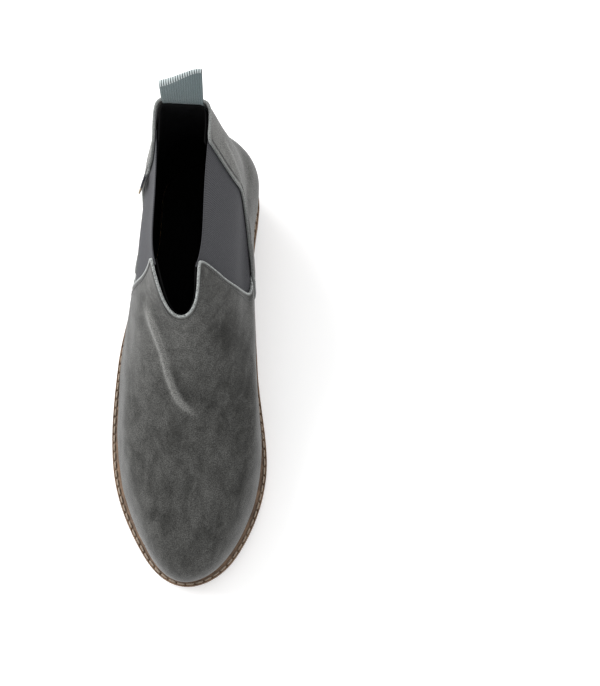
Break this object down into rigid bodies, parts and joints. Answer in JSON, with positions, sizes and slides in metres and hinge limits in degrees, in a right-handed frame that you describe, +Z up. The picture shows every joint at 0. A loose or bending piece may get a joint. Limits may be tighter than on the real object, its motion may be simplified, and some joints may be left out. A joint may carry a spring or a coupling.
{
  "type": "chelsea boot",
  "caption": "Low suede chelsea boot with elastic gores, a scooped front, a webbing pull tab, a stitched welt and a low stacked heel.",
  "frame": {"origin": "centre of the boot's bounding box on the ground", "axes": "+Z up, toe towards -Y, heel towards +Y, inner (medial) side of this right boot towards +X"},
  "size_m": [0.1088, 0.3052, 0.1991],
  "materials": {
    "suede": "matte",
    "elastic": "matte",
    "lining": "satin",
    "stiffener": "matte",
    "grey_thread": "matte",
    "webbing": "matte",
    "tag": "satin",
    "welt": "satin",
    "welt_thread": "matte",
    "outsole": "satin",
    "cork": "matte",
    "board": "matte",
    "sock": "satin",
    "steel": "brushed",
    "rubber": "matte",
    "heel": "satin"
  },
  "bodies": {
    "boot": {"vamp": "suede", "quarter_medial": "suede", "quarter_lateral": "suede", "gore_medial": "elastic", "gore_lateral": "elastic", "vamp_lining": "lining", "quarter_lining": "lining", "toe_puff": "stiffener", "heel_counter": "stiffener", "scoop_thread": "grey_thread", "vamp_thread_medial": "grey_thread", "vamp_thread_lateral": "grey_thread", "quarter_thread_medial": "grey_thread", "quarter_thread_lateral": "grey_thread", "pull_tab_tail": "webbing", "welt": "welt", "welt_stitch": "welt_thread", "outsole": "outsole", "cork_filler": "cork", "forefoot_filler": "cork", "insole_board": "board", "sock_liner": "sock", "shank": "steel", "heel_top_piece": "rubber", "heel_lift_1": "heel", "heel_lift_2": "heel", "heel_lift_3": "heel", "heel_nail_1": "steel", "heel_nail_2": "steel", "heel_nail_3": "steel", "heel_nail_4": "steel", "heel_nail_5": "steel"},
    "pull_loop": {"pull_tab_loop": "webbing"},
    "tag": {"side_tag": "tag"}
  },
  "joints": [
    {"name": "pull_tab_fold", "type": "hinge", "parent": "boot", "child": "pull_loop", "pos_m": [-0.00727, 0.12903, 0.16926], "axis": [1, 0, 0], "range_deg": [-75, 95], "stiffness_Nm_per_rad": 0.003},
    {"name": "side_tag_fold", "type": "hinge", "parent": "boot", "child": "tag", "pos_m": [-0.03262, 0.0966, 0.1174], "axis": [0.2361, 0.2102, 0.9487], "range_deg": [-95, 8], "stiffness_Nm_per_rad": 0.0002}
  ]
}
